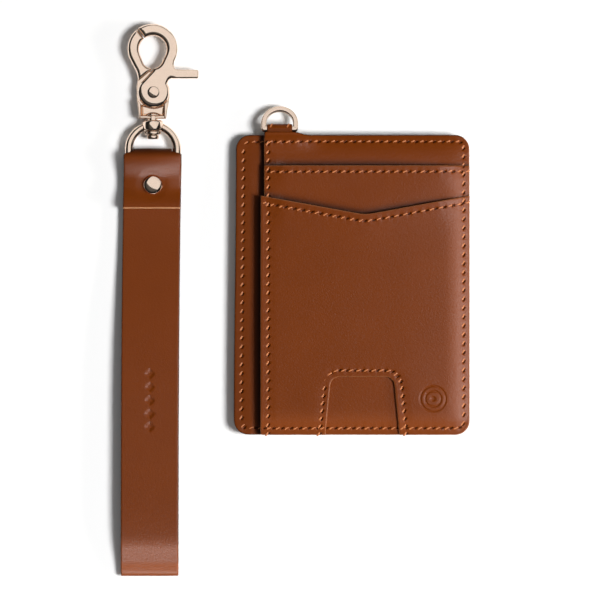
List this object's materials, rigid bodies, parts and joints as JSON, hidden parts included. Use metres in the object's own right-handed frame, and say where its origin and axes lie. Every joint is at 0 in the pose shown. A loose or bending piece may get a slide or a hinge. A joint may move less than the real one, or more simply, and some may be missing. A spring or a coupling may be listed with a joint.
{
  "type": "minimalist wallet",
  "caption": "Slim stitched leather card wallet with slip pockets and a ring tab, beside its detachable leather wrist strap with a swivelling snap hook.",
  "frame": {"origin": "centre of the wallet's underside, on the surface it lies on", "axes": "+X to the wallet's right with the mouth of the centre pocket on the left, +Y towards the ring tab, +Z out of the front face"},
  "size_m": [0.1068, 0.1709, 0.0104],
  "materials": {
    "tan_leather": "smooth full-grain, low sheen, burnished edges",
    "copper_thread": "waxed thread",
    "shielding_fabric": "matt woven lining",
    "light_gold": "polished pale gold plate",
    "spring_steel": "bright drawn wire"
  },
  "bodies": {
    "wallet": {"rear_outer_pocket": "tan_leather", "rear_inner_pocket": "tan_leather", "back_panel": "tan_leather", "rear_lining": "shielding_fabric", "front_lining": "shielding_fabric", "front_panel": "tan_leather", "middle_pocket": "tan_leather", "outer_pocket": "tan_leather", "ring_tab": "tan_leather", "perimeter_stitching": "copper_thread", "opening_stitching": "copper_thread", "middle_stitching": "copper_thread", "outer_stitching": "copper_thread", "notch_stitching": "copper_thread", "rear_stitching": "copper_thread", "tab_stitching": "copper_thread"},
    "wallet_ring": {"wallet_ring": "light_gold"},
    "strap": {"wrist_strap": "tan_leather", "rivet_cap": "light_gold", "rivet_post": "light_gold"},
    "strap_ring": {"strap_ring": "light_gold"},
    "hook": {"hook_body": "light_gold", "swivel_stud": "light_gold", "swivel_washer": "light_gold", "gate_pin": "light_gold", "gate_spring": "spring_steel"},
    "gate": {"gate_lever": "light_gold"}
  },
  "joints": [
    {"name": "wallet_ring_swing", "type": "hinge", "parent": "wallet", "child": "wallet_ring", "pos_m": [-0.0223, 0.0481, 0.00585], "axis": [1, 0, 0], "range_deg": [-86, 110]},
    {"name": "strap_lift", "type": "slide", "parent": "wallet", "child": "strap", "axis": [0, 0, 1], "range_m": [0, 0.1]},
    {"name": "strap_ring_swing", "type": "hinge", "parent": "strap", "child": "strap_ring", "pos_m": [-0.0615, 0.0394, 0.00335], "axis": [1, 0, 0], "range_deg": [-75, 75]},
    {"name": "hook_swivel", "type": "hinge", "parent": "strap_ring", "child": "hook", "pos_m": [-0.0615, 0.0512, 0.00335], "axis": [0, 1, 0], "continuous": true},
    {"name": "gate_pivot", "type": "hinge", "parent": "hook", "child": "gate", "pos_m": [-0.0613, 0.0595, 0.00335], "axis": [0, 0, -1], "range_deg": [0, 26], "stiffness_Nm_per_rad": 0.05, "springref_deg": -28.65}
  ]
}
